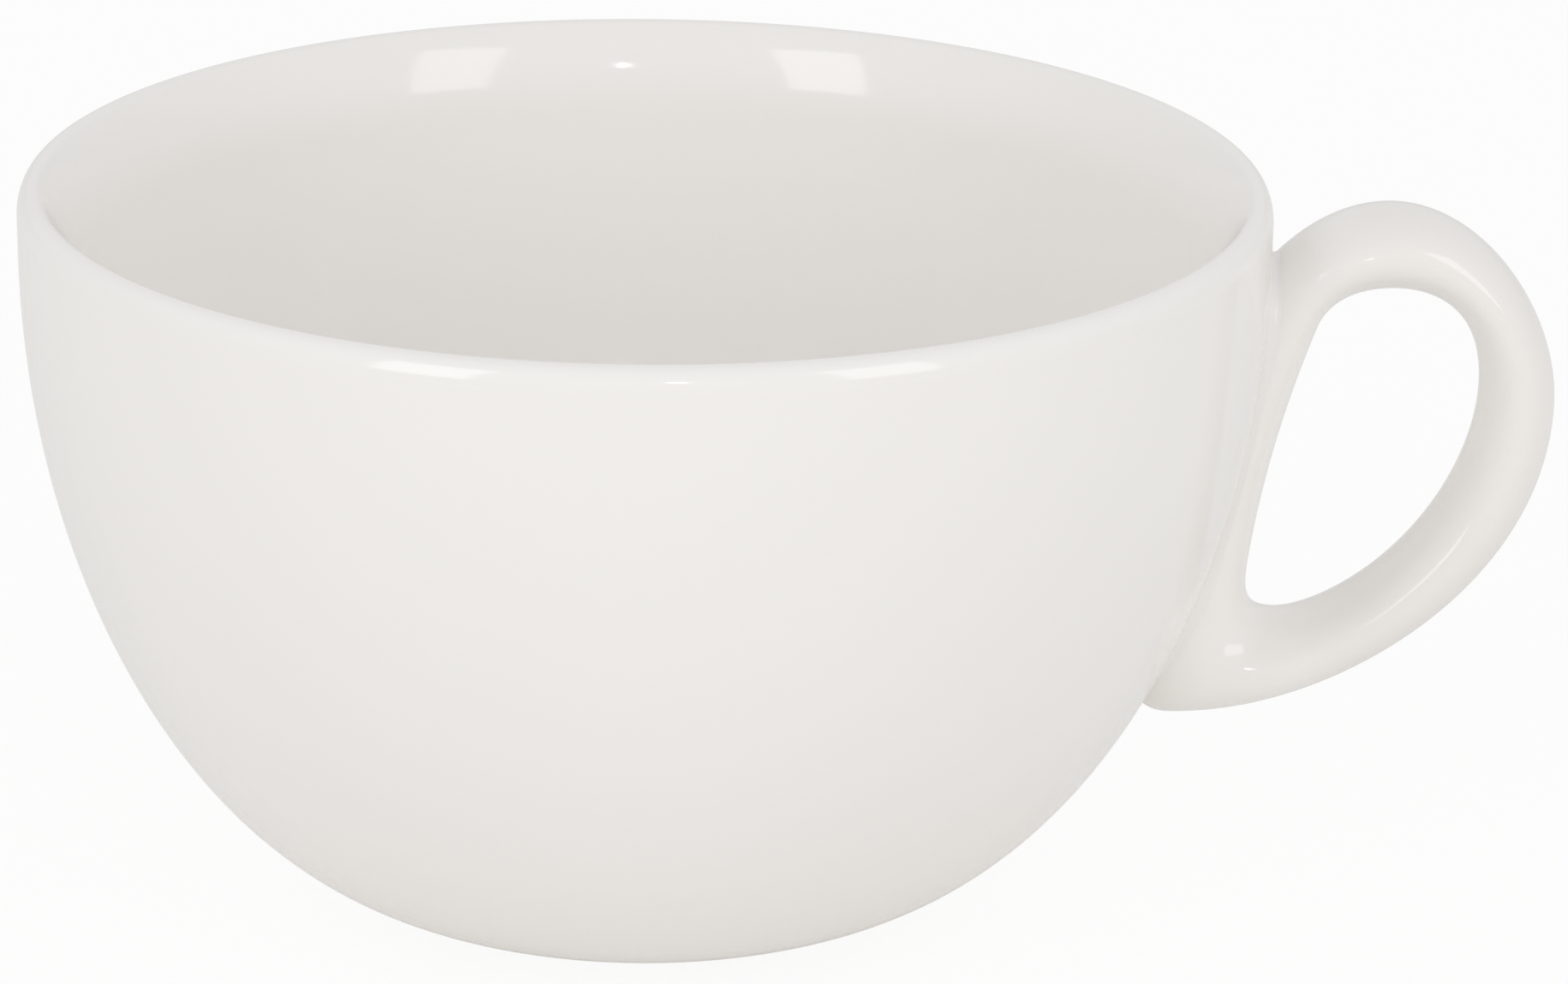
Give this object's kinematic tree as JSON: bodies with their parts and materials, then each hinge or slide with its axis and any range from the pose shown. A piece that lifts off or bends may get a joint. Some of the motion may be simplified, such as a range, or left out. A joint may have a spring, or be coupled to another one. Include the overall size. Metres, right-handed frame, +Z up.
{
  "type": "breakfast cup",
  "caption": "Wide, round-bellied porcelain breakfast cup on a low foot ring, with a cast loop handle luted to its side; holds a hot drink and is lifted by a finger through the loop.",
  "frame": {"origin": "on the table, under the middle of the cup's overall box (rim and handle together); the bowl's own axis is 13.125 mm to the -X side", "axes": "+X from the bowl towards the handle, +Z up out of the cup's mouth"},
  "size_m": [0.1382, 0.112, 0.0673],
  "materials": {
    "bowl_porcelain": "white clear-glazed porcelain, glossy; bare and matte on the foot ring's standing face",
    "handle_porcelain": "white clear-glazed porcelain, glossy",
    "slip_porcelain": "fired porcelain slip under the same clear glaze"
  },
  "bodies": {
    "root": {"bowl": "bowl_porcelain", "handle": "handle_porcelain", "luting_slip": "slip_porcelain"}
  },
  "joints": []
}
